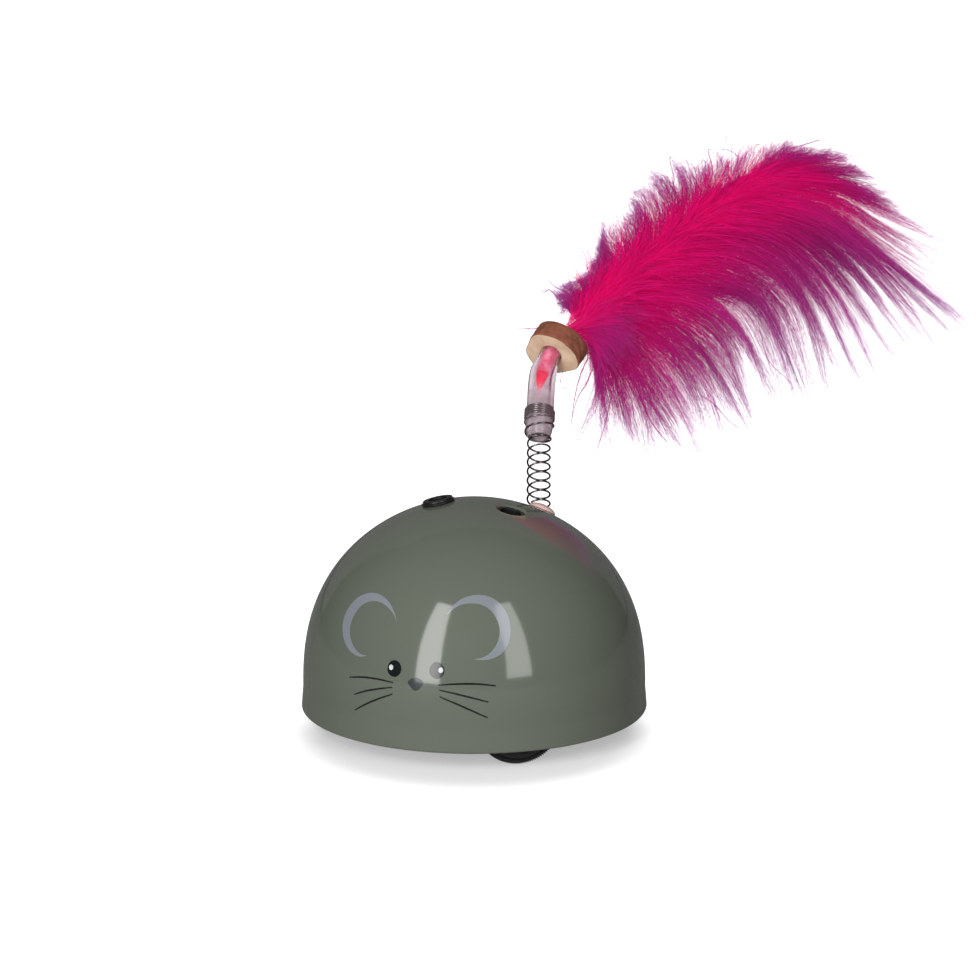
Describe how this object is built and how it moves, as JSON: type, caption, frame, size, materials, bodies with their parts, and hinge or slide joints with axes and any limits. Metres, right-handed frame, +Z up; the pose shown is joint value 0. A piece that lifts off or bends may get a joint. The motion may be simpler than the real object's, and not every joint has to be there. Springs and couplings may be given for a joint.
{
  "type": "electronic toy mouse",
  "caption": "Domed pet toy on two driven wheels, with a mouse face, a sensor pair on top and a dyed feather on a spring tail.",
  "frame": {"origin": "on the dome's axis, in the plane of the dome's rim and of the base tray's flat underside; the ground is 5.3 mm below it", "axes": "+Z up along the dome's axis, -Y forward, the way the printed face looks, +X to the right of someone who faces the face"},
  "size_m": [0.1541, 0.1686, 0.1503],
  "materials": {
    "grey_shell": "smooth glossy olive grey shell, with a printed face",
    "black_plastic": "satin black moulding",
    "black_rubber": "matt black tyre",
    "natural_nylon": "natural nylon moulding",
    "steel": "plated steel",
    "spring_steel": "dark drawn spring wire",
    "nickel": "nickel plated contact strip",
    "board": "green solder mask on glass-filled board",
    "dark_lens": "dark red infrared window",
    "cell_wrap": "plain printed battery wrap",
    "pink_silicone": "translucent pale pink silicone",
    "clear_vinyl": "translucent soft vinyl tube",
    "wood": "sawn branch slice with bark left on its rim",
    "pink_quill": "dyed feather quill",
    "plume": "dyed marabou feather, magenta with purple tips"
  },
  "bodies": {
    "housing": {"dome_shell": "grey_shell", "base_tray": "black_plastic", "sensor_ring": "black_plastic", "sensor_sleeve": "black_plastic", "circuit_board": "board", "infrared_emitter": "dark_lens", "infrared_receiver": "dark_lens", "controller_chip": "black_plastic", "board_screw_front": "steel", "board_screw_back": "steel", "case_screw_1": "steel", "case_screw_2": "steel", "case_screw_3": "steel", "case_screw_4": "steel", "battery_cell_1": "cell_wrap", "battery_cell_2": "cell_wrap", "battery_cell_3": "cell_wrap", "battery_contact_left": "nickel", "battery_contact_right": "nickel", "switch_body": "steel", "tail_plug": "pink_silicone", "right_gear_bracket": "natural_nylon", "right_motor": "steel", "right_axle": "steel", "right_outer_idler_pin": "steel", "right_inner_idler_pin": "steel", "left_gear_bracket": "natural_nylon", "left_motor": "steel", "left_axle": "steel", "left_outer_idler_pin": "steel", "left_inner_idler_pin": "steel"},
    "right_wheel": {"right_wheel_hub": "black_plastic", "right_tyre": "black_rubber"},
    "right_outer_gear": {"right_outer_idler": "natural_nylon"},
    "right_inner_gear": {"right_inner_idler": "natural_nylon"},
    "right_motor_rotor": {"right_motor_shaft": "steel", "right_pinion": "natural_nylon"},
    "left_wheel": {"left_wheel_hub": "black_plastic", "left_tyre": "black_rubber"},
    "left_outer_gear": {"left_outer_idler": "natural_nylon"},
    "left_inner_gear": {"left_inner_idler": "natural_nylon"},
    "left_motor_rotor": {"left_motor_shaft": "steel", "left_pinion": "natural_nylon"},
    "battery_door": {"battery_door": "black_plastic"},
    "switch_knob": {"power_switch": "natural_nylon"},
    "tail_spring": {"tail_spring": "spring_steel"},
    "tail": {"tail_tube": "clear_vinyl", "wood_bead": "wood", "feather_quill": "pink_quill", "feather_plume": "plume"}
  },
  "joints": [
    {"name": "right_wheel_spin", "type": "hinge", "parent": "housing", "child": "right_wheel", "pos_m": [0.02329, -0.03091, 0.007], "axis": [0.6018, -0.7986, 0], "continuous": true},
    {"name": "right_outer_gear_spin", "type": "hinge", "parent": "housing", "child": "right_outer_gear", "pos_m": [0.02498, -0.02125, 0.00961], "axis": [0.6018, -0.7986, 0], "continuous": true},
    {"name": "right_inner_gear_spin", "type": "hinge", "parent": "housing", "child": "right_inner_gear", "pos_m": [0.02977, -0.01513, 0.01093], "axis": [0.6018, -0.7986, 0], "continuous": true},
    {"name": "right_motor_rotor_spin", "type": "hinge", "parent": "housing", "child": "right_motor_rotor", "pos_m": [0.03456, -0.00902, 0.00961], "axis": [0.6018, -0.7986, 0], "continuous": true},
    {"name": "left_wheel_spin", "type": "hinge", "parent": "housing", "child": "left_wheel", "pos_m": [-0.02329, 0.03091, 0.007], "axis": [0.6018, -0.7986, 0], "continuous": true},
    {"name": "left_outer_gear_spin", "type": "hinge", "parent": "housing", "child": "left_outer_gear", "pos_m": [-0.01354, 0.02987, 0.00961], "axis": [0.6018, -0.7986, 0], "continuous": true},
    {"name": "left_inner_gear_spin", "type": "hinge", "parent": "housing", "child": "left_inner_gear", "pos_m": [-0.00634, 0.03278, 0.01093], "axis": [0.6018, -0.7986, 0], "continuous": true},
    {"name": "left_motor_rotor_spin", "type": "hinge", "parent": "housing", "child": "left_motor_rotor", "pos_m": [0.00085, 0.0357, 0.00961], "axis": [0.6018, -0.7986, 0], "continuous": true},
    {"name": "battery_door_hinge", "type": "hinge", "parent": "housing", "child": "battery_door", "pos_m": [-0.00256, -0.00193, 0], "axis": [0.6018, -0.7986, 0], "range_deg": [0, 75]},
    {"name": "power_switch_slide", "type": "slide", "parent": "housing", "child": "switch_knob", "axis": [0.6018, -0.7986, 0], "range_m": [0, 0.0026]},
    {"name": "tail_sway", "type": "hinge", "parent": "housing", "child": "tail_spring", "pos_m": [0.00971, 0.02628, 0.05611], "axis": [0.238, -0.7139, 0.6585], "range_deg": [-30, 30], "stiffness_Nm_per_rad": 0.05, "springref_deg": 4.02, "deforming": ["tail_spring"]},
    {"name": "tail_nod", "type": "hinge", "parent": "tail_spring", "child": "tail", "pos_m": [0.00752, 0.03284, 0.06401], "axis": [0.9487, 0.3162, 0], "range_deg": [-30, 30], "stiffness_Nm_per_rad": 0.05, "springref_deg": 4.21, "deforming": ["tail_spring"]}
  ],
  "couplings": [
    {"joint": "right_outer_gear_spin", "follows": "right_wheel_spin", "ratio": -2.75},
    {"joint": "right_inner_gear_spin", "follows": "right_wheel_spin", "ratio": 7.5625},
    {"joint": "right_motor_rotor_spin", "follows": "right_wheel_spin", "ratio": -20.797},
    {"joint": "left_outer_gear_spin", "follows": "left_wheel_spin", "ratio": -2.75},
    {"joint": "left_inner_gear_spin", "follows": "left_wheel_spin", "ratio": 7.5625},
    {"joint": "left_motor_rotor_spin", "follows": "left_wheel_spin", "ratio": -20.797}
  ]
}
